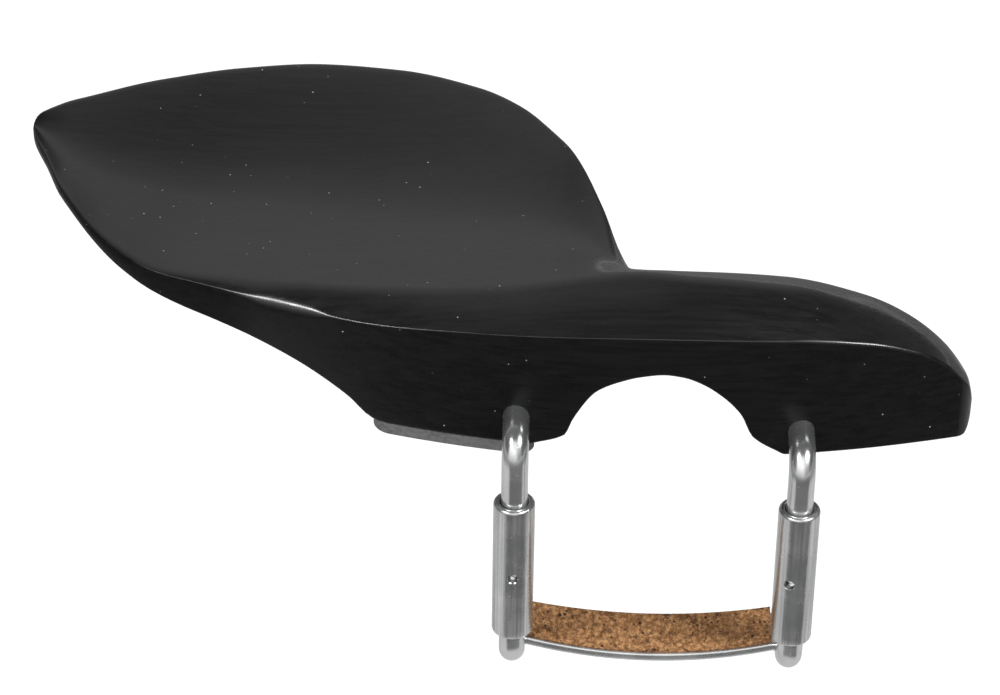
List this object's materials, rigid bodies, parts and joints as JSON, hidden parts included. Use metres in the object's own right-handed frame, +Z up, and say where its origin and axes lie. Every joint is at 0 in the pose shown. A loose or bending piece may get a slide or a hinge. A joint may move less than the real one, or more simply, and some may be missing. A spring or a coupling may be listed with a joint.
{
  "type": "violin chin rest",
  "caption": "Side-mounted chin rest: dished wooden cup on a padded bridge over the tailpiece, held by a turnbuckle clamp with a cork-lined jaw.",
  "frame": {"origin": "where the violin's centre line crosses the edge of its top plate, on the plate's upper surface, which is the plane of the foot pads' undersides", "axes": "+X along the violin's lower edge to the right seen from the clamp side, +Y inwards over the top plate towards the scroll, +Z up out of the top plate"},
  "size_m": [0.1174, 0.0655, 0.0496],
  "materials": {
    "ebony": "hand-rubbed satin black wood",
    "foot_pad": "matt grey cork-rubber sheet",
    "plated_rod": "bright nickel plate",
    "plated_barrel": "turned nickel plate",
    "cork": "raw sheet cork"
  },
  "bodies": {
    "rest": {"chin_plate": "ebony", "left_foot_pad": "foot_pad", "right_foot_pad": "foot_pad", "left_upper_hook": "plated_rod", "right_upper_hook": "plated_rod"},
    "left_barrel": {"left_barrel": "plated_barrel"},
    "right_barrel": {"right_barrel": "plated_barrel"},
    "bracket": {"left_lower_rod": "plated_rod", "right_lower_rod": "plated_rod", "bracket_plate": "plated_rod", "cork_liner": "cork"}
  },
  "joints": [
    {"name": "bracket_slide", "type": "slide", "parent": "rest", "child": "bracket", "axis": [0, 0, -1], "range_m": [0, 0.013]},
    {"name": "left_barrel_spin", "type": "hinge", "parent": "rest", "child": "left_barrel", "pos_m": [-0.017, -0.0045, -0.01245], "axis": [0, 0, 1], "range_deg": [0, 3901]},
    {"name": "right_barrel_spin", "type": "hinge", "parent": "rest", "child": "right_barrel", "pos_m": [0.017, -0.0045, -0.01245], "axis": [0, 0, 1], "range_deg": [0, 3901]}
  ],
  "couplings": [
    {"joint": "left_barrel_spin", "follows": "bracket_slide", "rad_per_m": 5236},
    {"joint": "right_barrel_spin", "follows": "bracket_slide", "rad_per_m": 5236}
  ]
}
